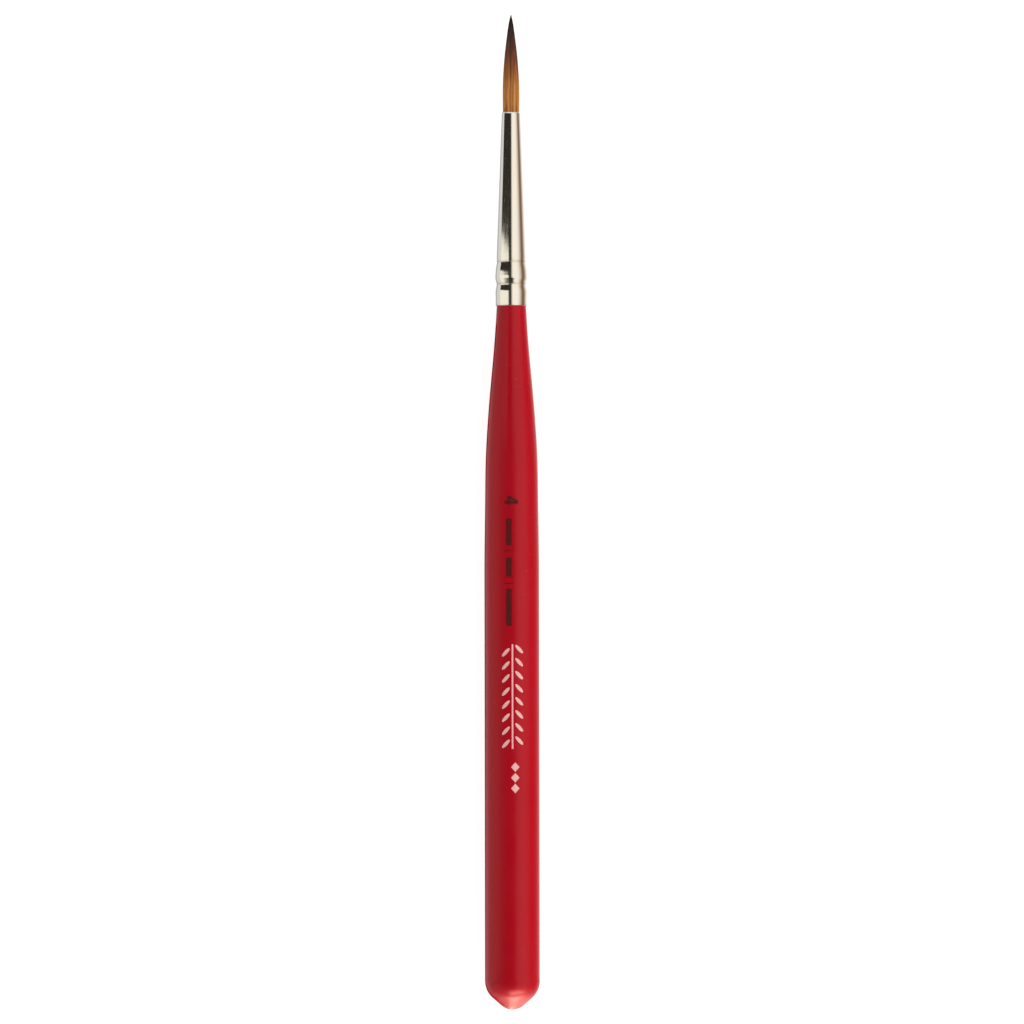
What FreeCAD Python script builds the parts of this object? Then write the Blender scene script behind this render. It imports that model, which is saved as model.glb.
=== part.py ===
"""Fine detail brush, a size 4 round with a short thick handle.

A turned and lacquered wooden handle, a thin conical ferrule rolled onto its tenon with two crimps, and a
pointed tuft of synthetic filaments tied with thread and set in resin inside the ferrule.

The brush lies on its side along X, with its tuft towards +X. The origin is on the surface that it lies on,
under the middle of its length. Each piece is turned about an axis along +X that starts at the handle's
rounded end, so the first number of a station is the distance from that end and the second is a radius.
The finished pieces are then moved into place. Lengths are in millimetres.
"""
import FreeCAD, Part
import math
import os

Vec = FreeCAD.Vector

# Whole brush
LENGTH = 178.0
TUFT_OUT = 17.6  # free length of the hair, past the ferrule's mouth
FERRULE_LENGTH = 34.6
MOUTH = LENGTH - TUFT_OUT
HANDLE_FRONT = MOUTH - FERRULE_LENGTH  # where the handle disappears into the ferrule

# Handle, measured over its lacquer
HANDLE_R = 4.90
NOSE_R = 3.0  # rounding of the very end
SHOULDER_R = 4.0  # rounding between end cone and belly
END_SLOPE = math.radians(49)  # end cone, from the axis
BELLY_FRONT = 78.0  # the belly is a true cylinder up to here
NECK = [
    (91.0, 4.75),
    (98.5, 4.63),
    (103.6, 4.36),
    (109.0, 3.96),
    (116.0, 3.32),
    (121.5, 2.88),
    (HANDLE_FRONT, 2.62),
]
LACQUER = 0.15
COLLAR = 1.4  # lacquered length hidden under the ferrule
TENON_DEPTH = 17.3
TENON_CHAMFER = 0.4

# Ferrule: a cone with two crimps rolled in behind it, at distances back from its mouth
MOUTH_R = 1.66
WALL = 0.17
RIM = 0.07  # rounding of both rims
CONE_END = (25.9, 2.61)
CRIMPS = [
    CONE_END,
    (26.7, 2.575),
    (27.6, 2.71),
    (29.0, 2.845),
    (29.9, 2.83),
    (30.65, 2.645),
    (31.6, 2.77),
    (33.0, 2.815),
    (FERRULE_LENGTH, 2.81),
]
GLUE = 0.12  # film between tenon and ferrule
GLUE_LENGTH = 13.5

# Hair: free outline at distances past the mouth
ROOT_DEPTH = 12.5
TUFT = [(0.0, 1.475), (3.0, 1.51), (6.9, 1.40), (10.6, 1.12), (14.0, 0.70), (16.3, 0.33), (TUFT_OUT, 0.04)]
PIVOT_OUT = 2.6  # where the bundle hinges as it flexes, past the mouth
PIVOT_GAP = 0.05
HINGE_CONE = math.radians(45)  # the free hair's base slopes back this far, to swing clear
POINT_R = 0.04  # blunting of that cone's point

# Thread and resin
THREAD_D = 0.25
THREAD_SIDES = 8
THREAD_PITCH = 0.27
THREAD_TURNS = 5
THREAD_DEPTH = 10.6  # start of the winding, back from the mouth
THREAD_ROOM = 0.02
RESIN_FRONT = 4.0
RESIN_BACK = 13.5

# Printing on the handle's upper side. A mark's advance runs from the tuft towards the rounded end, and its
# height runs towards -Y.
INK = 0.03
SIZE_AT = 91.8
SIZE_FOOT = 1.30
SIZE_HEIGHT = 2.45
SIZE_WIDTH = 1.55
SIZE_STROKE = 0.48
TYPE_GROUPS = [(87.8, 13), (80.8, 9), (75.3, 18)]  # start of each group of ticks, and how many
TYPE_BARS = [82.1, 77.4, 76.3]
TYPE_FOOT = 1.04
TICK = (0.31, 1.05)  # width, height
TICK_PITCH = 0.37
BAR = (0.14, 1.6)
SPRIG_AT = 65.4
SPRIG_MIDDLE = -0.09
SPRIG_LENGTH = 18.6
SPRIG_STEM = 0.30
LEAF_PAIRS = 8
LEAF = (2.0, 0.62)  # length, width
LEAF_GAP = 0.14
LEAF_SLOPE = math.radians(42)
LOZENGE_AT = 44.4
LOZENGE_MIDDLE = -0.56
LOZENGE = (1.7, 1.5)
LOZENGE_PITCH = 1.9
LOZENGES = 3

CLEAR_OF_ALL = 8.0  # half width of the blocks that parts are cut with


def line(a, b):
    return Part.LineSegment(Vec(*a), Vec(*b)).toShape()


def arc(centre, radius, start, end):
    """Arc in the outline's plane, from one angle to another."""
    points = [
        Vec(centre[0] + radius * math.cos(t), centre[1] + radius * math.sin(t))
        for t in (start, (start + end) / 2, end)
    ]
    return Part.Arc(*points).toShape()


def curve(points, start_slope, end_slope):
    """Smooth curve through outline points, with a given direction at each end."""
    spline = Part.BSplineCurve()
    spline.interpolate(
        Points=[Vec(*p) for p in points],
        InitialTangent=Vec(*start_slope).normalize(),
        FinalTangent=Vec(*end_slope).normalize(),
    )
    return spline.toShape()


def turn(edges):
    """Solid turned from an outline that starts and ends on the axis."""
    first = edges[0].firstVertex(True).Point
    last = edges[-1].lastVertex(True).Point
    wire = Part.Wire(edges + [line(last, first)])
    return Part.Face(wire).revolve(Vec(0, 0, 0), Vec(1, 0, 0), 360)


def rod(start, end, radius):
    return Part.makeCylinder(radius, end - start, Vec(start, 0, 0), Vec(1, 0, 0))


def between(shape, start, end):
    """The stretch of a turned solid from one station to another."""
    return shape.common(rod(start, end, CLEAR_OF_ALL))


def handle_form(inset=0.0):
    """The turned handle up to the ferrule, moved in by inset all over."""
    nose = NOSE_R - inset
    shoulder = SHOULDER_R - inset
    sin, cos = math.sin(END_SLOPE), math.cos(END_SLOPE)
    shoulder_y = HANDLE_R - SHOULDER_R
    cone_x = NOSE_R * (1 - sin)
    shoulder_x = cone_x + ((shoulder_y - NOSE_R * cos) * cos + SHOULDER_R) / sin
    leave_nose = (NOSE_R - nose * sin, nose * cos)
    meet_shoulder = (shoulder_x - shoulder * sin, shoulder_y + shoulder * cos)
    neck = [(BELLY_FRONT, HANDLE_R - inset)] + [(x, r - inset) for x, r in NECK]
    right = math.pi / 2
    return turn(
        [
            arc((NOSE_R, 0), nose, math.pi, right + END_SLOPE),
            line(leave_nose, meet_shoulder),
            arc((shoulder_x, shoulder_y), shoulder, right + END_SLOPE, right),
            line((shoulder_x, HANDLE_R - inset), neck[0]),
            curve(neck, (1, 0), (NECK[-1][0] - NECK[-2][0], NECK[-1][1] - NECK[-2][1])),
            line(neck[-1], (HANDLE_FRONT, 0)),
        ]
    )


def ferrule_form(inset=0.0):
    """The ferrule's outline as a solid cone, moved in by inset, from its rear rim to its mouth."""
    rear_first = [(MOUTH - s, r - inset) for s, r in reversed(CRIMPS)]
    mouth = (MOUTH, MOUTH_R - inset)
    slope = (mouth[0] - rear_first[-1][0], mouth[1] - rear_first[-1][1])
    return turn(
        [
            line((HANDLE_FRONT, 0), rear_first[0]),
            curve(rear_first, (1, 0), slope),
            line(rear_first[-1], mouth),
            line(mouth, (MOUTH, 0)),
        ]
    )


def round_rims(shape, radius):
    """Round the edges that lie in the planes of the ferrule's two ends."""
    rims = [
        e
        for e in shape.Edges
        if e.BoundBox.XLength < 1e-6 and min(abs(e.BoundBox.XMin - x) for x in (HANDLE_FRONT, MOUTH)) < 1e-6
    ]
    return shape.makeFillet(radius, rims)


def hair_form():
    """The whole hair bundle, from its tied root to its point."""
    outline = [(MOUTH + x, r) for x, r in TUFT]
    root_r = TUFT[0][1]
    root = MOUTH - ROOT_DEPTH
    tip = outline[-1]
    return turn(
        [
            line((root, 0), (root, root_r)),
            line((root, root_r), outline[0]),
            curve(outline, (1, 0.02), (tip[0] - outline[-2][0], tip[1] - outline[-2][1])),
            line(tip, (tip[0], 0)),
        ]
    )


def handle_wood():
    tenon = between(ferrule_form(WALL + GLUE), HANDLE_FRONT, HANDLE_FRONT + TENON_DEPTH)
    end = [e for e in tenon.Edges if e.BoundBox.XMin > HANDLE_FRONT + TENON_DEPTH - 1e-6]
    return handle_form(LACQUER).fuse(tenon.makeChamfer(TENON_CHAMFER, end)).removeSplitter()


def handle_lacquer(wood):
    collar = rod(HANDLE_FRONT, HANDLE_FRONT + COLLAR, NECK[-1][1])
    return handle_form().fuse(collar).cut(wood)


def ferrule():
    return round_rims(ferrule_form().cut(ferrule_form(WALL)), RIM)


def tenon_adhesive():
    start = HANDLE_FRONT + COLLAR
    film = ferrule_form(WALL).cut(ferrule_form(WALL + GLUE))
    return between(film, start, start + GLUE_LENGTH)


def tuft_root():
    return between(hair_form(), MOUTH - ROOT_DEPTH, MOUTH + PIVOT_OUT)


def filament_tuft():
    """The free hair, with a blunt conical base that turns on the end of the root."""
    start = MOUTH + PIVOT_OUT + PIVOT_GAP
    depth = CLEAR_OF_ALL * math.tan(HINGE_CONE)
    swing_room = Part.makeCone(POINT_R, POINT_R + CLEAR_OF_ALL, depth, Vec(start, 0, 0), Vec(1, 0, 0))
    ahead = rod(start + depth, LENGTH + 1, CLEAR_OF_ALL)
    return hair_form().common(swing_room.fuse(ahead))


def tuft_binding_thread():
    """A few tight turns of thread, wound on as a helix about the hair root."""
    radius = TUFT[0][1] + THREAD_ROOM + THREAD_D / 2
    path = Part.makeHelix(THREAD_PITCH, THREAD_PITCH * THREAD_TURNS, radius)
    corners = [2 * math.pi * i / THREAD_SIDES for i in range(THREAD_SIDES + 1)]
    section = [
        Vec(radius + THREAD_D / 2 * math.cos(t), 0, THREAD_D / 2 * math.sin(t)) for t in corners
    ]
    thread = Part.Wire(path.Edges).makePipeShell([Part.makePolygon(section)], True, True)
    thread.rotate(Vec(0, 0, 0), Vec(0, 1, 0), 90)
    thread.translate(Vec(MOUTH - THREAD_DEPTH, 0, 0))
    return thread


def root_epoxy():
    """Resin from just behind the mouth to just past the root's end, with room for the thread."""
    plug = between(ferrule_form(WALL), MOUTH - RESIN_BACK, MOUTH - RESIN_FRONT)
    hair = rod(MOUTH - ROOT_DEPTH, MOUTH, TUFT[0][1])
    wound_r = TUFT[0][1] + THREAD_D + 2 * THREAD_ROOM
    margin = THREAD_D
    wound = THREAD_PITCH * THREAD_TURNS + margin
    thread_room = rod(MOUTH - THREAD_DEPTH - margin, MOUTH - THREAD_DEPTH + wound, wound_r)
    return plug.cut(hair.fuse(thread_room))


def mark(points, at, foot):
    """Upright block over a printed mark, from its outline in advance and height."""
    outline = Part.makePolygon([Vec(at - a, foot - h, 0) for a, h in [*points, points[0]]])
    return Part.Face(outline).extrude(Vec(0, 0, CLEAR_OF_ALL))


def oblong(width, height, start=0.0, foot=0.0):
    return [(start, foot), (start + width, foot), (start + width, foot + height), (start, foot + height)]


def numeral_four(width, height, stroke):
    """Outline of a closed-top 4, with its triangular eye."""
    bar_low = 0.22 * height
    bar_high = bar_low + stroke
    stem_left = 0.58 * width
    stem_right = stem_left + stroke
    outer = [
        (0, bar_low),
        (stem_left, bar_low),
        (stem_left, 0),
        (stem_right, 0),
        (stem_right, bar_low),
        (width, bar_low),
        (width, bar_high),
        (stem_right, bar_high),
        (stem_right, height),
        (stem_left, height),
        (0, bar_high),
    ]
    eye = [(0.36 * width, bar_high), (stem_left, bar_high), (stem_left, 0.78 * height)]
    return outer, eye


def leaf(length, width, slope, side):
    """Pointed leaf that leaves the stem at a slope, on one side of it."""
    half = length / 2
    steps = 6
    angles = [math.pi * i / steps for i in range(steps + 1)]
    edge = [(half * (1 - math.cos(t)), math.sin(t)) for t in angles]
    upper = [(a, width / 2 * s) for a, s in edge]
    lower = [(a, -b) for a, b in upper[-2:0:-1]]
    cos, sin = math.cos(slope), math.sin(slope)
    return [(a * cos - b * sin, side * (a * sin + b * cos)) for a, b in upper + lower]


def printed(marks):
    """Ink film where upright blocks come out of the handle's surface."""
    return handle_form(-INK).common(Part.makeCompound(marks)).cut(handle_form())


def size_print():
    outer, eye = numeral_four(SIZE_WIDTH, SIZE_HEIGHT, SIZE_STROKE)
    numeral = mark(outer, SIZE_AT, SIZE_FOOT).cut(mark(eye, SIZE_AT, SIZE_FOOT))
    return printed([numeral])


def type_print():
    """Three groups of plain ticks, divided by thin bars."""
    width, height = TICK
    ticks = [
        mark(oblong(width, height), start - i * TICK_PITCH, TYPE_FOOT)
        for start, count in TYPE_GROUPS
        for i in range(count)
    ]
    bar_foot = TYPE_FOOT + (BAR[1] - height) / 2
    bars = [mark(oblong(*BAR), at, bar_foot) for at in TYPE_BARS]
    return printed(ticks + bars)


def ornament_print():
    """A plain leafy sprig, followed by three lozenges."""
    marks = [mark(oblong(SPRIG_LENGTH, SPRIG_STEM, foot=-SPRIG_STEM / 2), SPRIG_AT, SPRIG_MIDDLE)]
    pitch = SPRIG_LENGTH / LEAF_PAIRS
    clear = SPRIG_STEM / 2 + LEAF_GAP + LEAF[1] / 2 * math.cos(LEAF_SLOPE)
    for i in range(LEAF_PAIRS):
        for side, stagger in ((1, 0.05), (-1, 0.3)):
            outline = leaf(*LEAF, LEAF_SLOPE, side)
            foot = [(a, b + side * clear) for a, b in outline]
            marks.append(mark(foot, SPRIG_AT - (i + stagger) * pitch, SPRIG_MIDDLE))
    length, height = LOZENGE
    lozenge = [(0, 0), (length / 2, -height / 2), (length, 0), (length / 2, height / 2)]
    marks += [mark(lozenge, LOZENGE_AT - i * LOZENGE_PITCH, LOZENGE_MIDDLE) for i in range(LOZENGES)]
    return printed(marks)


def main():
    wood = handle_wood()
    parts = {
        "handle_wood": wood,
        "handle_lacquer": handle_lacquer(wood),
        "ferrule": ferrule(),
        "tenon_adhesive": tenon_adhesive(),
        "root_epoxy": root_epoxy(),
        "tuft_binding_thread": tuft_binding_thread(),
        "tuft_root": tuft_root(),
        "filament_tuft": filament_tuft(),
        "size_print": size_print(),
        "type_print": type_print(),
        "ornament_print": ornament_print(),
    }
    os.makedirs("parts", exist_ok=True)
    for node, shape in parts.items():
        shape.translate(Vec(-LENGTH / 2, 0, HANDLE_R))
        shape.exportStep(f"parts/{node}.step")
        box = shape.BoundBox
        print(
            f"{node}: {len(shape.Solids)} solids, valid {shape.isValid()}, volume {shape.Volume:.4f} mm3,",
            f"x {box.XMin:.2f} to {box.XMax:.2f}, z {box.ZMin:.2f} to {box.ZMax:.2f}",
        )


main()
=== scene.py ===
"""Looks of a fine detail brush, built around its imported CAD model.

The brush lies along X on the floor at z = 0, with its tuft towards +X. Outlines are in millimetres, as
(station, radius) pairs about the brush's axis, and the mesh code turns them into metres.
"""
import math

import bpy
import numpy as np
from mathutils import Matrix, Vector


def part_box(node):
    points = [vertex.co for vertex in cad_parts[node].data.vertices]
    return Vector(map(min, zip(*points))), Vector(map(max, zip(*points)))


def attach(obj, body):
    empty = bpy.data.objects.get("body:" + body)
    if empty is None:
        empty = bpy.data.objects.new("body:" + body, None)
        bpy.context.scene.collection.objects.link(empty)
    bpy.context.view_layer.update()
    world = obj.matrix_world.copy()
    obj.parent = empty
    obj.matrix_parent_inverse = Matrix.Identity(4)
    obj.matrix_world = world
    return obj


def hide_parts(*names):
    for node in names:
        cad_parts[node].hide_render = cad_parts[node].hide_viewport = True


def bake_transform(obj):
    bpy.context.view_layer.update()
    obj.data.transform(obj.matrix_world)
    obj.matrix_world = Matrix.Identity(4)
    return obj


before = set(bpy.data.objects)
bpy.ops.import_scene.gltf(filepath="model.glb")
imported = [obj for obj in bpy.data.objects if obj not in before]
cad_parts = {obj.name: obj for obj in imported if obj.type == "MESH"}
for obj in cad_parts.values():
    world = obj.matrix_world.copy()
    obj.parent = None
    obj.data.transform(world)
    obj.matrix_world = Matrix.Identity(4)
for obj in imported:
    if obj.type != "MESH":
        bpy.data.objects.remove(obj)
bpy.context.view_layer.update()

MM = 0.001
AXIS_Z = sum(corner.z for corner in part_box("handle_lacquer")) / 2
REAR_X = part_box("handle_lacquer")[0].x
FERRULE_REAR_X, MOUTH_X = (corner.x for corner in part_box("ferrule"))
TIP_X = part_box("filament_tuft")[1].x

# Handle, measured over its lacquer, at stations from its rounded end
HANDLE_FRONT = (FERRULE_REAR_X - REAR_X) / MM
HANDLE_R = AXIS_Z / MM
NOSE_R = 3.0
SHOULDER_R = 4.0
END_SLOPE = math.radians(49)
BELLY_FRONT = 78.0
NECK = [
    (91.0, 4.75),
    (98.5, 4.63),
    (103.6, 4.36),
    (109.0, 3.96),
    (116.0, 3.32),
    (121.5, 2.88),
    (HANDLE_FRONT, 2.62),
]
LACQUER = 0.15
COLLAR = 1.4  # how far the lacquer runs on under the ferrule
OUTLINE_STEP = 0.6
BELLY_STEP = 3.0
DULL_END = 4.6  # the rounded end is duller up to here, and fades in over DULL_FADE
DULL_FADE = 2.0
HANDLE_SIDES = 144

# Ferrule, at stations back from its mouth
FERRULE_LENGTH = (MOUTH_X - FERRULE_REAR_X) / MM
MOUTH_R = 1.66
CONE_END = (25.9, 2.61)
CRIMPS = [
    CONE_END,
    (26.7, 2.575),
    (27.6, 2.71),
    (29.0, 2.845),
    (29.9, 2.83),
    (30.65, 2.645),
    (31.6, 2.77),
    (33.0, 2.815),
    (FERRULE_LENGTH, 2.81),
]
GROOVES = [CRIMPS[1][0], CRIMPS[5][0]]
WALL = 0.17
RIM = 0.07
ROLL = (0.42, 0.15)  # length and depth of the rolled-in mouth
CRIMP_STEP = 0.07
CONE_STEP = 1.2
CONE_START = ROLL[0] + 0.6
LIP = 0.03  # how far behind the mouth the bore starts
TARNISH_AND_SHADE_REACH = 0.45  # how far the warm tarnish spreads from a groove, and the painted shade from the rear rim
FERRULE_SIDES = 144

# Hair, at stations past the mouth
HAIR_OUT = (TIP_X - MOUTH_X) / MM
ROOT_DEPTH = 12.5
TUFT = [(0.0, 1.475), (3.0, 1.51), (6.9, 1.40), (10.6, 1.12), (14.0, 0.70), (16.3, 0.33), (HAIR_OUT, 0.04)]
FILAMENTS = 760
FILAMENT_R = 0.05
FILAMENT_SIDES = 5
FILAMENT_RINGS = 19
HAIR_SEED = 41
SHORTEST_BY = 5.2  # how much shorter than the longest a filament can be
LEADERS = 40  # filaments nearest the bundle's middle, which make the point
LEADERS_BY = 0.9
OWN_TAPER = 1.8  # length over which each filament thins at its end
CLUMPS = 11
CLUMPS_FROM = 4.0
CLUMPS_OVER = 9.0

# Camera: straight above, with a long lens
FIELD = 0.1831
LENS = 200.0
SENSOR = 36.0
LEAN = math.radians(0.092)
CAMERA_AT = (-0.00006, -0.00005)

# Light of the set, as brightness beside the white paper
SKY = 0.42
SOFTBOX = 1.08
END_LIGHT = 11.0
FLOOR_GLOW = 0.89

# Places and sizes of the lights, and colours of their light
SOFTBOX_LEAN = math.radians(43.5)
SOFTBOX_AWAY = 0.45
SOFTBOX_SIZE = (1.6, 0.53)
SOFTBOX_COLOUR = (1.0, 0.96, 0.92)
END_LIGHT_AT = (-0.58, -0.09, 0.055)
END_LIGHT_SIZE = (0.3, 0.2)

# Size of the studio: the floor reaches a little past the walls, and the far ground stops short of them
FLOOR_HALF = 6.0
WALLS_AT = 5.9
GROUND_HALF = 5.8
CEILING = 6.0

# What the polished surfaces reflect: angles from straight up, positive towards -Y, and colours
DARK = (0.026, 0.022, 0.018)
BROWN = (0.20, 0.125, 0.080)
CREAM = (0.98, 0.96, 0.84)
WARM = (1.04, 0.99, 0.89)
SOFTBOX_SIDE = [
    (93, BROWN),
    (84, (0.27, 0.19, 0.13)),
    (72, (0.58, 0.49, 0.41)),
    (60, (0.86, 0.79, 0.70)),
    (45, WARM),
]
HALF_CREAM = (0.34, 0.33, 0.29)
OVER_HANDLE = SOFTBOX_SIDE + [
    (28, WARM),
    (8, DARK),
    (-16, DARK),
    (-40, HALF_CREAM),
    (-65, CREAM),
    (-91, CREAM),
]
OVER_REAR = SOFTBOX_SIDE + [(11, WARM), (-4, DARK), (-15, DARK), (-26, CREAM), (-50, CREAM), (-91, CREAM)]
OVER_FRONT = SOFTBOX_SIDE + [(11, WARM), (-4, DARK), (-15, DARK), (-26, DARK), (-50, DARK), (-91, DARK)]
TENT_R = 0.12
TENT = [
    (-0.19, TENT_R, OVER_HANDLE),
    (0.020, TENT_R, OVER_HANDLE),
    (0.034, TENT_R, OVER_REAR),
    (0.0611, TENT_R, OVER_REAR),
    (0.0616, TENT_R, OVER_FRONT),
    (0.12, TENT_R, OVER_FRONT),
]
BEHIND = [(138, BROWN)] + OVER_HANDLE + [(-96, HALF_CREAM), (-138, HALF_CREAM)]
TENT_WALL = [(-0.0842, 0.0060, BEHIND), (-0.0928, TENT_R, BEHIND)]
BACKDROP = (0.55, 0.90, 0.98)  # at the foot and the top of the walls, and at the middle of the ceiling
GROUND_LIFT = 0.0005
GROUND_FAR = (0.50, 0.50, 0.50)
GROUNDS = [
    (
        "ground_right",
        0.12,
        [
            (0.0, (1.0, 0.98, 0.94)),
            (-0.0065, (1.0, 0.98, 0.94)),
            (-0.0105, (0.66, 0.58, 0.52)),
            (-0.019, (0.32, 0.23, 0.18)),
            (-0.036, BROWN),
            (-0.12, BROWN),
        ],
    ),
    ("ground_left", 0.12, [(0.0086, (0.72, 0.73, 0.74)), (0.12, (0.76, 0.76, 0.76))]),
    ("contact_shade", 0.034, [(0.001, (0.06, 0.02, 0.02)), (0.0084, (0.06, 0.02, 0.02))]),
]
END_COLOUR = (1.0, 0.92, 0.74)
END_NEAR = 0.018
END_LIFT = 0.003  # the panels are laid out as seen from this far above the brush's axis
END_PANELS = [
    (
        "low_end_panel",
        0.07,
        [(-60, 14), (-40, 22), (-22, 31), (-8, 38), (1.4, 38)],
        [(-60, 0), (-38, 0.06), (-20, 0.25), (-7, 0.75), (3, 1), (14, 1), (26, 0.5), (44, 0.15), (65, 0)],
    ),
    (
        "high_end_panel",
        0.5,
        [(20, 18), (25, 22), (34, 15), (44, 6), (54, 0)],
        [(-50, 0), (-28, 0.04), (-12, 0.3), (2, 0.9), (16, 1), (30, 0.9), (46, 0.5), (60, 0)],
    ),
]


# ---- mesh code ----


def arc(centre, radius, start, end, steps=10):
    """Outline points along an arc, from one angle to another. The radius may be a pair, for an ellipse."""
    along, up = radius if isinstance(radius, tuple) else (radius, radius)
    angles = np.linspace(start, end, steps)
    return [(centre[0] + along * math.cos(t), centre[1] + up * math.sin(t)) for t in angles]


def smooth(points, first_slope, last_slope, step):
    """Closely spaced points of the cubic spline through outline points, with a given slope at each end."""
    x, y = np.array(points, float).T
    gap = np.diff(x)
    rise = np.diff(y) / gap
    count = len(x)
    matrix = np.zeros((count, count))
    target = np.zeros(count)
    matrix[0, 0] = matrix[-1, -1] = 1
    target[0], target[-1] = first_slope, last_slope
    for i in range(1, count - 1):
        matrix[i, i - 1 : i + 2] = gap[i], 2 * (gap[i - 1] + gap[i]), gap[i - 1]
        target[i] = 3 * (gap[i] * rise[i - 1] + gap[i - 1] * rise[i])
    slope = np.linalg.solve(matrix, target)
    at = np.linspace(x[0], x[-1], int((x[-1] - x[0]) / step) + 1)
    k = np.clip(np.searchsorted(x, at) - 1, 0, count - 2)
    t = (at - x[k]) / gap[k]
    start = (2 * t**3 - 3 * t**2 + 1) * y[k] + (t**3 - 2 * t**2 + t) * gap[k] * slope[k]
    end = (3 * t**2 - 2 * t**3) * y[k + 1] + (t**3 - t**2) * gap[k] * slope[k + 1]
    return list(zip(at, start + end))


def new_piece(name, vertices, faces):
    """Smooth-shaded mesh object from vertices in metres."""
    mesh = bpy.data.meshes.new(name)
    mesh.from_pydata(vertices, [], faces)
    mesh.shade_smooth()
    made = bpy.data.objects.new(name, mesh)
    bpy.context.scene.collection.objects.link(made)
    return made


def lathe(name, outline, zero_x, sides, closed=False):
    """Piece turned from an outline in millimetres from zero_x, whose ends may lie on the axis."""
    angles = np.arange(sides) * 2 * math.pi / sides
    vertices, rings = [], []
    for x, r in outline:
        first = len(vertices)
        turned = [(0.0, 0.0)] if r < 1e-9 else [(r * math.cos(t), r * math.sin(t)) for t in angles]
        vertices += [(zero_x + x * MM, y * MM, AXIS_Z + z * MM) for y, z in turned]
        rings.append(range(first, len(vertices)))
    faces = []
    pairs = list(zip(rings, rings[1:])) + ([(rings[-1], rings[0])] if closed else [])
    for here, there in pairs:
        for i in range(sides):
            corners = [here[i % len(here)], here[(i + 1) % len(here)]]
            corners += [there[(i + 1) % len(there)], there[i % len(there)]]
            faces.append(tuple(dict.fromkeys(corners)))
    return new_piece(name, vertices, faces)


def attribute(piece, name, values):
    """Stores a value for each vertex, for a material to read."""
    made = piece.data.attributes.new(name, "FLOAT", "POINT")
    made.data.foreach_set("value", np.asarray(values, np.float32))


def stations(piece, zero_x):
    """How far each vertex is from zero_x along the brush, in millimetres."""
    return np.array([(v.co.x - zero_x) / MM for v in piece.data.vertices])


# ---- materials ----


def node(tree, kind, inputs=(), **settings):
    """Shader node with its inputs set to values, or linked where they are other nodes' outputs."""
    made = tree.nodes.new("ShaderNode" + kind)
    for name, value in settings.items():
        setattr(made, name, value)
    for name, value in dict(inputs).items():
        if isinstance(value, bpy.types.NodeSocket):
            tree.links.new(value, made.inputs[name])
        else:
            made.inputs[name].default_value = value
    return made


def material(name, **values):
    """Material with a Principled shader, its constant inputs set, as (material, tree, shader)."""
    made = bpy.data.materials.new(name)
    made.use_nodes = True
    shader = made.node_tree.nodes["Principled BSDF"]
    for words, value in values.items():
        shader.inputs[words.replace("_", " ")].default_value = value
    return made, made.node_tree, shader


def noise(tree, scale, stretch=(1, 1, 1), detail=3.0, roughness=0.5):
    """Noise in the piece's own coordinates, with scale in cells per metre and each axis stretched."""
    place = node(tree, "TexCoord").outputs["Object"]
    mapped = node(tree, "Mapping", {"Vector": place, "Scale": tuple(scale / s for s in stretch)})
    made = node(
        tree,
        "TexNoise",
        {"Vector": mapped.outputs["Vector"], "Scale": 1.0, "Detail": detail, "Roughness": roughness},
    )
    return made.outputs["Fac"]


def ramp(tree, value, *stops):
    """Colour ramp over a value. Each stop is a position and a grey or a colour."""
    made = node(tree, "ValToRGB", {"Fac": value})
    elements = made.color_ramp.elements
    while len(elements) < len(stops):
        elements.new(0.5)
    for element, (position, colour) in zip(elements, stops):
        element.position = position
        element.color = (*colour, 1) if isinstance(colour, tuple) else (colour, colour, colour, 1)
    return made.outputs["Color"]


def spread(tree, value, low, high, from_low=0.0, from_high=1.0):
    """The value, mapped from one range to another."""
    made = node(
        tree,
        "MapRange",
        {"Value": value, "From Min": from_low, "From Max": from_high, "To Min": low, "To Max": high},
    )
    return made.outputs["Result"]


def sums(tree, operation, a, b):
    """One sum of two values, each a number or another node's output."""
    made = node(tree, "Math", operation=operation)
    for socket, value in zip(made.inputs, (a, b)):
        if isinstance(value, bpy.types.NodeSocket):
            tree.links.new(value, socket)
        else:
            socket.default_value = value
    return made.outputs["Value"]


def mixed(tree, factor, a, b, blend="MIX"):
    """Mix of two colours, each a colour or another node's output."""
    made = node(tree, "Mix", data_type="RGBA", blend_type=blend)
    for socket, value in ((made.inputs[0], factor), (made.inputs[6], a), (made.inputs[7], b)):
        if isinstance(value, bpy.types.NodeSocket):
            tree.links.new(value, socket)
        else:
            socket.default_value = (*value, 1) if isinstance(value, tuple) else value
    return made.outputs[2]


def bumps(tree, shader, *layers):
    """Stack of bump layers, each a height output and how tall it is in millimetres."""
    normal = None
    for height, tall in layers:
        inputs = {"Height": height, "Distance": tall * MM, "Strength": 1.0}
        if normal:
            inputs["Normal"] = normal
        normal = node(tree, "Bump", inputs).outputs["Normal"]
    tree.links.new(normal, shader.inputs["Normal"])


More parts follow.
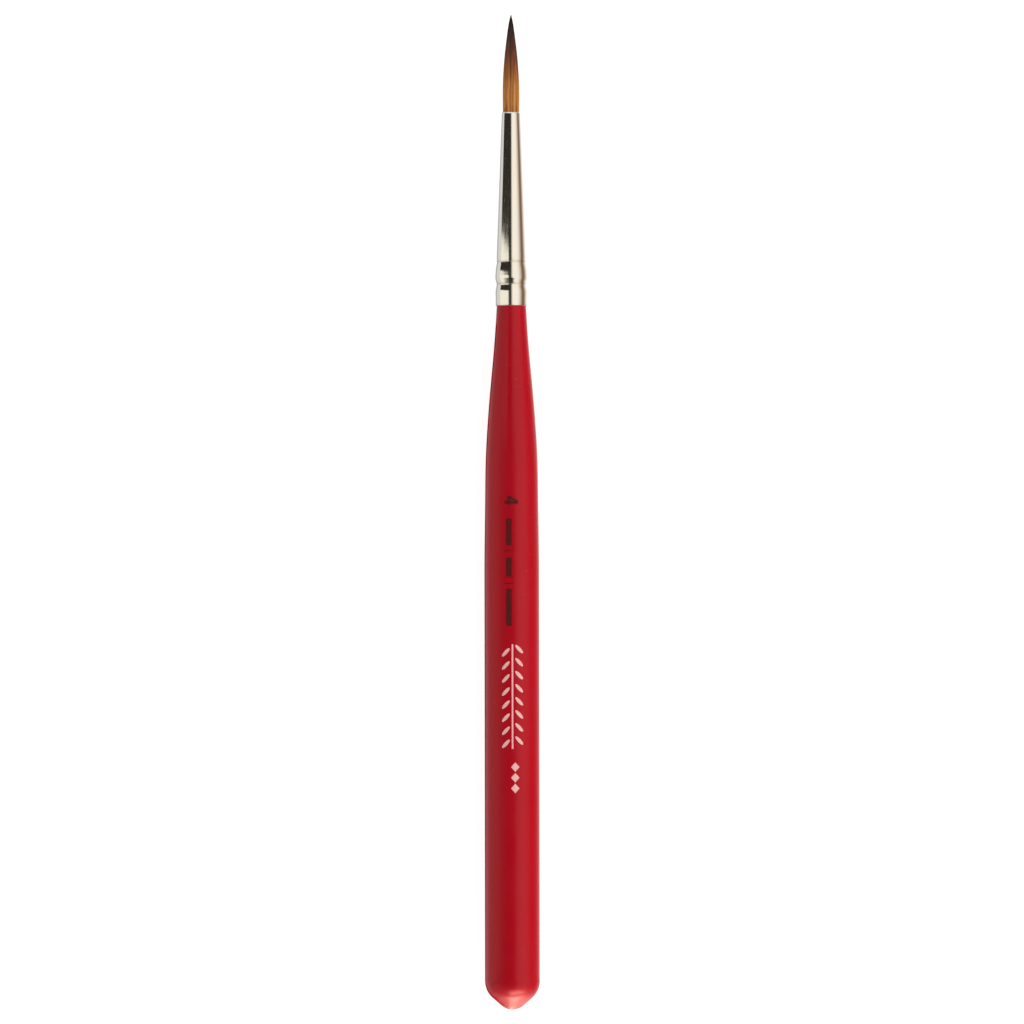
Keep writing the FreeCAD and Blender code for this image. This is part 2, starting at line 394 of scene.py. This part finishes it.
def red_lacquer():
    """Dipped satin gloss lacquer: faint orange peel, ripples of the turned wood, dust nibs, hairline rubs.

    It is duller on the rounded end, where the last drop dried.
    """
    made, tree, shader = material("lacquer", IOR=1.30)
    cloud = noise(tree, 90, (6, 1, 1))
    red = mixed(tree, cloud, (0.425, 0.0002, 0.0085), (0.465, 0.0006, 0.0115))
    nib = ramp(tree, noise(tree, 3600, detail=0.0), (0.87, 0.0), (0.90, 1.0))
    red = mixed(tree, sums(tree, "MULTIPLY", nib, 0.35), red, (0.70, 0.25, 0.22))
    tree.links.new(red, shader.inputs["Base Color"])
    smudge = noise(tree, 260, (2, 1, 1), detail=4.0)
    rubs = ramp(tree, noise(tree, 5200, (40, 1, 1), detail=2.0), (0.62, 0.0), (0.72, 1.0))
    gloss = spread(tree, smudge, 0.17, 0.23, 0.3, 0.7)
    gloss = sums(tree, "ADD", gloss, sums(tree, "MULTIPLY", rubs, 0.035))
    dull = node(tree, "Attribute", attribute_name="dull").outputs["Fac"]
    gloss = sums(tree, "ADD", gloss, sums(tree, "MULTIPLY", dull, 0.10))
    tree.links.new(gloss, shader.inputs["Roughness"])
    bumps(
        tree,
        shader,
        (noise(tree, 420, (2.5, 1, 1), detail=1.0), 0.006),
        (noise(tree, 1500, (1, 6, 6), detail=2.0), 0.0012),
        (nib, 0.012),
        (rubs, -0.0006),
    )
    return made


def nickel_plate():
    """Bright nickel on drawn brass: fine draw lines, hairline scratches, warm tarnish in the grooves and
    painted shade on the rear rim, where the ferrule meets the handle.
    """
    made, tree, shader = material("nickel", Metallic=1.0)
    tarnish_and_joint_shade = node(tree, "Attribute", attribute_name="groove").outputs["Fac"]
    patches = noise(tree, 700, (3, 1, 1), detail=4.0)
    plate = mixed(tree, patches, (0.90, 0.86, 0.80), (0.86, 0.81, 0.74))
    # Darker and browner near the grooves as tarnish, and at the rear rim as painted shade where the ferrule
    # meets the handle
    dull = sums(tree, "MULTIPLY", tarnish_and_joint_shade, spread(tree, patches, 0.35, 0.8, 0.3, 0.7))
    plate = mixed(tree, dull, plate, (0.52, 0.42, 0.30))
    tree.links.new(plate, shader.inputs["Base Color"])
    lines = noise(tree, 14000, (90, 1, 1), detail=3.0, roughness=0.6)
    scratch = ramp(tree, noise(tree, 9000, (25, 1, 3), detail=1.0), (0.70, 0.0), (0.74, 1.0))
    rough = spread(tree, lines, 0.05, 0.13, 0.3, 0.7)
    rough = sums(tree, "ADD", rough, sums(tree, "MULTIPLY", tarnish_and_joint_shade, 0.12))
    rough = sums(tree, "ADD", rough, sums(tree, "MULTIPLY", scratch, 0.12))
    tree.links.new(rough, shader.inputs["Roughness"])
    bumps(
        tree,
        shader,
        (noise(tree, 300, (4, 1, 1), detail=1.0), 0.004),
        (lines, 0.00035),
        (scratch, -0.0008),
    )
    return made


def hair():
    """Tapered synthetic filaments: golden brown at the ferrule, red-brown further out, black at the tip."""
    made, tree, shader = material("filaments", Specular_IOR_Level=0.35, Roughness=0.42)
    along = node(tree, "Attribute", attribute_name="along").outputs["Fac"]
    shade = node(tree, "Attribute", attribute_name="shade").outputs["Fac"]
    drift = spread(tree, shade, -2.2, 2.2)
    fine = spread(tree, noise(tree, 4200, (14, 1, 1), detail=2.0), -0.9, 0.9, 0.25, 0.75)
    place = sums(tree, "ADD", sums(tree, "ADD", along, drift), fine)
    colour = ramp(
        tree,
        spread(tree, place, 0.0, 1.0, 0.0, 18.0),
        (0.0, (0.51, 0.20, 0.043)),
        (0.06, (0.75, 0.32, 0.072)),
        (0.28, (0.69, 0.28, 0.062)),
        (0.40, (0.46, 0.15, 0.034)),
        (0.54, (0.25, 0.066, 0.021)),
        (0.66, (0.125, 0.038, 0.018)),
        (0.80, (0.055, 0.024, 0.016)),
        (0.95, (0.022, 0.011, 0.009)),
    )
    lighter = spread(tree, shade, 0.72, 1.18)
    grey = node(tree, "CombineXYZ", {"X": lighter, "Y": lighter, "Z": lighter}).outputs["Vector"]
    colour = mixed(tree, 1.0, colour, grey, "MULTIPLY")
    tree.links.new(colour, shader.inputs["Base Color"])
    bumps(tree, shader, (noise(tree, 9000, (6, 1, 1), detail=2.0), 0.0015))
    return made


def ink(name, full, thin, cover):
    """Pad-printed ink: pinholes and thin places let the lacquer's colour through."""
    made, tree, shader = material(name, Specular_IOR_Level=0.15)
    grain = noise(tree, 5200, detail=4.0, roughness=0.65)
    worn = ramp(tree, grain, (cover, 0.0), (cover + 0.16, 1.0))
    tree.links.new(mixed(tree, worn, full, thin), shader.inputs["Base Color"])
    tree.links.new(spread(tree, grain, 0.42, 0.62), shader.inputs["Roughness"])
    bumps(tree, shader, (grain, 0.004))
    return made


def birch():
    """Turned birch: fine pale grain along the handle, with faint darker flecks."""
    made, tree, shader = material("birch")
    grain = noise(tree, 1600, (30, 1, 1), detail=5.0, roughness=0.6)
    fleck = ramp(tree, noise(tree, 3000, (8, 1, 1), detail=1.0), (0.66, 0.0), (0.72, 1.0))
    pale, deep = (0.70, 0.52, 0.32), (0.44, 0.27, 0.13)
    wood = ramp(tree, grain, (0.25, deep), (0.55, (0.62, 0.43, 0.24)), (0.80, pale))
    tree.links.new(mixed(tree, fleck, wood, (0.33, 0.18, 0.08)), shader.inputs["Base Color"])
    tree.links.new(spread(tree, grain, 0.55, 0.8), shader.inputs["Roughness"])
    bumps(tree, shader, (grain, 0.02))
    return made


def cast(name, light, deep, glossiness):
    """Dried or cast adhesive: cloudy colour, small bubbles and a rippled skin."""
    made, tree, shader = material(name, Coat_Weight=0.3)
    cloud = noise(tree, 900, detail=3.0)
    bubble = ramp(tree, noise(tree, 6000, detail=0.0), (0.70, 0.0), (0.76, 1.0))
    tree.links.new(mixed(tree, cloud, light, deep), shader.inputs["Base Color"])
    tree.links.new(spread(tree, cloud, glossiness, glossiness + 0.2), shader.inputs["Roughness"])
    bumps(tree, shader, (cloud, 0.02), (bubble, -0.02))
    return made


def waxed_thread():
    """Plied polyester thread, pale, with a twist and loose fuzz."""
    made, tree, shader = material("waxed_thread", Sheen_Weight=0.3)
    ply = noise(tree, 9000, (1, 3, 3), detail=3.0)
    colour = ramp(tree, ply, (0.3, (0.55, 0.50, 0.42)), (0.7, (0.80, 0.76, 0.68)))
    tree.links.new(colour, shader.inputs["Base Color"])
    tree.links.new(spread(tree, ply, 0.55, 0.8), shader.inputs["Roughness"])
    bumps(tree, shader, (ply, 0.015))
    return made


# ---- the brush ----


def handle_outline(inset=0.0):
    """The handle from the apex of its rounded end to the ferrule, moved in by inset."""
    sin, cos = math.sin(END_SLOPE), math.cos(END_SLOPE)
    shoulder_y = HANDLE_R - SHOULDER_R
    cone_x = NOSE_R * (1 - sin)
    shoulder_x = cone_x + ((shoulder_y - NOSE_R * cos) * cos + SHOULDER_R) / sin
    right = math.pi / 2
    neck = [(BELLY_FRONT, HANDLE_R)] + NECK
    end_slope = (NECK[-1][1] - NECK[-2][1]) / (NECK[-1][0] - NECK[-2][0])
    nose = arc((NOSE_R, 0), NOSE_R - inset, math.pi, right + END_SLOPE, 14)
    shoulder = arc((shoulder_x, shoulder_y), SHOULDER_R - inset, right + END_SLOPE, right, 18)
    belly = [(x, HANDLE_R - inset) for x in np.arange(shoulder_x + 2, BELLY_FRONT - 1, BELLY_STEP)]
    taper = [(x, r - inset) for x, r in smooth(neck, 0.0, end_slope, OUTLINE_STEP)]
    return [(nose[0][0], 0.0)] + nose[1:] + shoulder + belly + taper


def make_handle():
    """Lacquer skin over the whole handle, closed inside where it sits on the wood."""
    front_r = NECK[-1][1]
    collar = [(HANDLE_FRONT + COLLAR, front_r), (HANDLE_FRONT + COLLAR, front_r - LACQUER)]
    outline = handle_outline() + collar + handle_outline(LACQUER)[::-1]
    coat = lathe("handle_coat", outline, REAR_X, HANDLE_SIDES)
    attribute(coat, "dull", np.clip((DULL_END - stations(coat, REAR_X)) / DULL_FADE, 0, 1))
    coat.data.materials.append(red_lacquer())
    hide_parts("handle_lacquer")
    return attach(coat, "brush")


def make_ferrule():
    """Thin drawn cone with two rolled crimps, a rounded rear rim and a rolled-in mouth."""
    right = math.pi / 2
    cone_slope = (CONE_END[1] - MOUTH_R) / CONE_END[0]
    crimps = smooth(CRIMPS, cone_slope, 0.0, CRIMP_STEP)
    cone = [(s, MOUTH_R + cone_slope * s) for s in np.arange(CONE_START, CONE_END[0], CONE_STEP)]
    body = [(s, r) for s, r in cone + crimps if s < FERRULE_LENGTH - RIM]
    roll_r = MOUTH_R + cone_slope * ROLL[0]
    lip = arc((ROLL[0], roll_r - ROLL[1]), ROLL, math.pi, right, 12)
    rear = FERRULE_LENGTH
    rear_rim = arc((rear - RIM, CRIMPS[-1][1] - RIM), RIM, right, 0, 6)
    rear_rim += arc((rear - RIM, CRIMPS[-1][1] - WALL + RIM), RIM, 0, -right, 6)
    inner = [(s, r - WALL) for s, r in body[::-1]]
    bore_r = MOUTH_R - WALL
    outline = lip + body + rear_rim + inner + [(ROLL[0], bore_r), (LIP, bore_r)]
    shell = lathe("ferrule_shell", [(-s, r) for s, r in outline[::-1]], MOUTH_X, FERRULE_SIDES, closed=True)
    back = -stations(shell, MOUTH_X)
    # Darkening by the grooves is tarnish; darkening by the rear rim is painted shade where the ferrule
    # meets the handle
    nearest = np.min([np.abs(back - g) for g in GROOVES + [rear]], axis=0)
    attribute(shell, "groove", np.clip(1 - nearest / TARNISH_AND_SHADE_REACH, 0, 1) ** 2)
    shell.data.materials.append(nickel_plate())
    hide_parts("ferrule")
    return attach(shell, "brush")


def filament_lines(rng):
    """Centre line, radius and station of every ring of every filament, as arrays of filaments by rings."""
    table = np.array(smooth(TUFT, 0.012, -0.21, 0.1))
    rank = (np.arange(FILAMENTS) + 0.5) / FILAMENTS
    share = np.sqrt(rank)  # how far out in the bundle each filament lies
    golden = math.pi * (3 - math.sqrt(5))
    angle = np.arange(FILAMENTS) * golden + rng.uniform(-0.2, 0.2, FILAMENTS)
    length = HAIR_OUT - SHORTEST_BY * rng.power(2.1, FILAMENTS) * rng.uniform(0, 1, FILAMENTS)
    length[:LEADERS] = HAIR_OUT - rng.uniform(0, LEADERS_BY, LEADERS)
    t = np.linspace(0, 1, FILAMENT_RINGS - 1)
    free = length[:, None] * (1 - (1 - t[None, :]) ** 1.35)
    s = np.concatenate([np.full((FILAMENTS, 1), -ROOT_DEPTH), free], axis=1)
    outline = np.interp(s, table[:, 0], table[:, 1])
    thick = FILAMENT_R * np.clip(outline / TUFT[0][1], 0, 1) ** 0.55
    own_end = np.clip((length[:, None] - s) / OWN_TAPER, 0, 1)
    thick = thick * (0.12 + 0.88 * own_end**0.7)
    phase = rng.uniform(0, 2 * math.pi, (3, FILAMENTS, 1))
    free_share = np.clip(s / HAIR_OUT, 0, 1)
    pull = np.clip((s - CLUMPS_FROM) / CLUMPS_OVER, 0, 1) ** 1.5
    a = angle[:, None] + 0.10 * free_share * np.sin(0.35 * s + phase[0])
    a = a - 0.45 * pull * np.sin(CLUMPS * a) / CLUMPS
    groove = 1 - 0.07 * pull * (0.5 - 0.5 * np.cos(CLUMPS * a))
    wobble = 1 + 0.02 * free_share * np.sin(0.6 * s + phase[1])
    r = np.minimum(share[:, None] * wobble, 1.0) * groove * (outline - thick)
    tongues = np.sin(5 * angle + 0.4) + np.sin(9 * angle + 2.0) + np.sin(14 * angle + 4.1)
    shade = np.clip(0.5 + 0.17 * tongues + rng.uniform(-0.25, 0.25, FILAMENTS), 0, 1)
    return s, r * np.cos(a), r * np.sin(a), thick, shade


def make_tuft():
    """One bundle of tapered filaments, from the tied root inside the ferrule to the point."""
    rng = np.random.default_rng(HAIR_SEED)
    s, y, z, thick, shade = filament_lines(rng)
    corner = np.arange(FILAMENT_SIDES) * 2 * math.pi / FILAMENT_SIDES
    x = np.repeat(MOUTH_X + s[:, :, None] * MM, FILAMENT_SIDES, axis=2)
    ring_y = (y[:, :, None] + thick[:, :, None] * np.cos(corner)) * MM
    ring_z = AXIS_Z + (z[:, :, None] + thick[:, :, None] * np.sin(corner)) * MM
    vertices = np.stack([x, ring_y, ring_z], axis=-1).reshape(-1, 3)
    faces = []
    per_filament = FILAMENT_RINGS * FILAMENT_SIDES
    for start in range(0, len(vertices), per_filament):
        for ring in range(start, start + per_filament - FILAMENT_SIDES, FILAMENT_SIDES):
            for i in range(FILAMENT_SIDES):
                j = (i + 1) % FILAMENT_SIDES
                ahead = ring + FILAMENT_SIDES
                faces.append((ring + i, ring + j, ahead + j, ahead + i))
        faces.append(tuple(range(start + FILAMENT_SIDES - 1, start - 1, -1)))
        end = start + per_filament
        faces.append(tuple(range(end - FILAMENT_SIDES, end)))
    tuft = new_piece("hair_bundle", vertices.tolist(), faces)
    attribute(tuft, "along", np.repeat(s.reshape(-1), FILAMENT_SIDES))
    attribute(tuft, "shade", np.repeat(shade, per_filament))
    tuft.data.materials.append(hair())
    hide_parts("tuft_root", "filament_tuft")
    start = (MOUTH_X, 0, AXIS_Z)
    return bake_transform(tuft)


def dress_nodes():
    """Materials of the CAD pieces that keep their own shape."""
    black = ink("black_print", (0.068, 0.004, 0.002), (0.13, 0.005, 0.005), 0.58)
    finishes = {
        "handle_wood": birch(),
        "tenon_adhesive": cast("glue_film", (0.66, 0.56, 0.36), (0.52, 0.42, 0.24), 0.35),
        "root_epoxy": cast("amber_resin", (0.50, 0.27, 0.08), (0.36, 0.17, 0.04), 0.15),
        "tuft_binding_thread": waxed_thread(),
        "size_print": black,
        "type_print": black,
        "ornament_print": ink("white_print", (0.92, 0.50, 0.49), (0.74, 0.22, 0.22), 0.54),
    }
    for name, finish in finishes.items():
        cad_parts[name].data.materials.clear()
        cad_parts[name].data.materials.append(finish)


# ---- the set ----


def make_camera():
    """Camera straight above the brush, whose tuft points up in the picture."""
    data = bpy.data.cameras.new("camera")
    data.lens = LENS
    data.sensor_width = SENSOR
    data.clip_start = 0.01
    data.clip_end = 50
    camera = bpy.data.objects.new("camera", data)
    height = AXIS_Z + FIELD * LENS / SENSOR
    camera.location = (*CAMERA_AT, height)
    camera.rotation_euler = (0, 0, -math.pi / 2 - LEAN)
    bpy.context.scene.collection.objects.link(camera)
    bpy.context.scene.camera = camera


def make_floor():
    """Plain white paper, far wider than the view and lit so evenly that shadows nearly vanish in it."""
    half = FLOOR_HALF
    corners = [(-half, -half, 0), (half, -half, 0), (half, half, 0), (-half, half, 0)]
    floor = new_piece("floor", corners, [(0, 1, 2, 3)])
    made, tree, shader = material("paper", Specular_IOR_Level=0.1, Roughness=0.9)
    fibre = noise(tree, 2500, detail=2.0)
    tree.links.new(ramp(tree, fibre, (0.3, 0.29), (0.7, 0.31)), shader.inputs["Base Color"])
    shader.inputs["Emission Color"].default_value = (1, 1, 1, 1)
    shader.inputs["Emission Strength"].default_value = FLOOR_GLOW
    floor.data.materials.append(made)


def make_board(name, rows, colours, in_view=False):
    """Glowing board of the set, a grid of points with a colour each, for reflections and not for light."""
    count = len(rows[0])
    faces = []
    for i in range(len(rows) - 1):
        for j in range(count - 1):
            here = i * count + j
            faces.append((here, here + 1, here + 1 + count, here + count))
    board = new_piece(name, [point for row in rows for point in row], faces)
    flat = [value for row in colours for colour in row for value in (*colour, 1.0)]
    board.data.attributes.new("glow", "FLOAT_COLOR", "POINT").data.foreach_set("color", flat)
    made, tree, shader = material(name, Roughness=1.0, Specular_IOR_Level=0.0, Emission_Strength=1.0)
    shader.inputs["Base Color"].default_value = (0, 0, 0, 1)
    glow = node(tree, "Attribute", attribute_name="glow").outputs["Color"]
    tree.links.new(glow, shader.inputs["Emission Color"])
    board.data.materials.append(made)
    board.visible_camera = in_view
    board.visible_diffuse = False
    board.visible_shadow = False


def make_light(name, place, target, width, height, radiance, colour=(1, 1, 1)):
    """Rectangular softbox facing a target. The boards stand for it in reflections."""
    data = bpy.data.lights.new(name, "AREA")
    data.shape = "RECTANGLE"
    data.size = width
    data.size_y = height
    data.energy = radiance * math.pi * width * height
    data.color = colour
    light = bpy.data.objects.new(name, data)
    light.location = place
    light.rotation_euler = (Vector(target) - Vector(place)).to_track_quat("-Z", "Y").to_euler()
    light.visible_camera = False
    light.visible_glossy = False
    bpy.context.scene.collection.objects.link(light)


def make_tent():
    """Curved reflector round the brush: softbox side, black overhead gap and cream side.

    A wall across it, just ahead of the rounded end, hides the end panels from the rest of the brush.
    """
    for name, hoops in (("tent", TENT), ("tent_wall", TENT_WALL)):
        rows, colours = [], []
        for i in range(len(hoops[0][2])):
            row = []
            for x, radius, profile in hoops:
                angle = math.radians(profile[i][0])
                row.append((x, -radius * math.sin(angle), AXIS_Z + radius * math.cos(angle)))
            rows.append(row)
            colours.append([profile[i][1] for _, _, profile in hoops])
        make_board(name, rows, colours)


def make_grounds():
    """Strips on the floor beside the brush, as the polished sides reflect them."""
    for name, front_x, strips in GROUNDS:
        rows = [[(x, y, GROUND_LIFT) for x in (TENT[0][0], front_x)] for y, _ in strips]
        make_board(name, rows, [[colour, colour] for _, colour in strips])
    half = GROUND_HALF
    rows = [[(x, y, GROUND_LIFT / 2) for x in (-half, half)] for y in (-half, half)]
    make_board("ground_far", rows, [[GROUND_FAR] * 2] * 2)


def make_end_panels():
    """Bright boards behind the rounded end of the handle. The low one lies on the floor."""
    level = AXIS_Z + END_LIFT
    for name, back, elevations, spread_out in END_PANELS:
        sideways = [math.tan(math.radians(azimuth)) for azimuth, _ in spread_out]
        rows, colours = [], []
        for elevation, brightness in elevations:
            slope = math.tan(math.radians(elevation))
            away = min(back, (GROUND_LIFT - level) / slope) if slope < 0 else back
            wide = max(away, END_NEAR)
            rows.append([(REAR_X - away, -wide * side, level + away * slope) for side in sideways])
            colours.append([tuple(brightness * share * c for c in END_COLOUR) for _, share in spread_out])
        make_board(name, rows, colours)


def make_backdrop():
    """Walls round the floor, lighter towards a white ceiling."""
    far, top = WALLS_AT, CEILING
    ring = [(-far, -far), (far, -far), (far, far), (-far, far), (-far, -far)]
    rows = [[(x, y, z) for x, y in ring] for z in (0.0, top)] + [[(0.0, 0.0, top)] * len(ring)]
    colours = [[(grey, grey, grey)] * len(ring) for grey in BACKDROP]
    make_board("backdrop", rows, colours, in_view=True)


def make_set():
    """Studio of white paper and pale walls, with the reflectors, two lights and a plain view transform."""
    world = bpy.data.worlds.new("studio")
    world.use_nodes = True
    background = world.node_tree.nodes["Background"]
    background.inputs["Color"].default_value = (1.0, 0.99, 0.98, 1)
    background.inputs["Strength"].default_value = SKY
    bpy.context.scene.world = world
    make_floor()
    make_backdrop()
    make_tent()
    make_grounds()
    make_end_panels()
    side_y = -SOFTBOX_AWAY * math.sin(SOFTBOX_LEAN)
    side_z = AXIS_Z + SOFTBOX_AWAY * math.cos(SOFTBOX_LEAN)
    middle = (0.0, 0.0, AXIS_Z)
    rear = (REAR_X, 0.0, AXIS_Z)
    make_light("softbox", (0.0, side_y, side_z), middle, *SOFTBOX_SIZE, SOFTBOX, SOFTBOX_COLOUR)
    make_light("end_light", END_LIGHT_AT, rear, *END_LIGHT_SIZE, END_LIGHT, END_COLOUR)
    view = bpy.context.scene.view_settings
    view.view_transform = "Standard"
    view.look = "None"


make_camera()
make_set()
make_handle()
make_ferrule()
make_tuft()
dress_nodes()
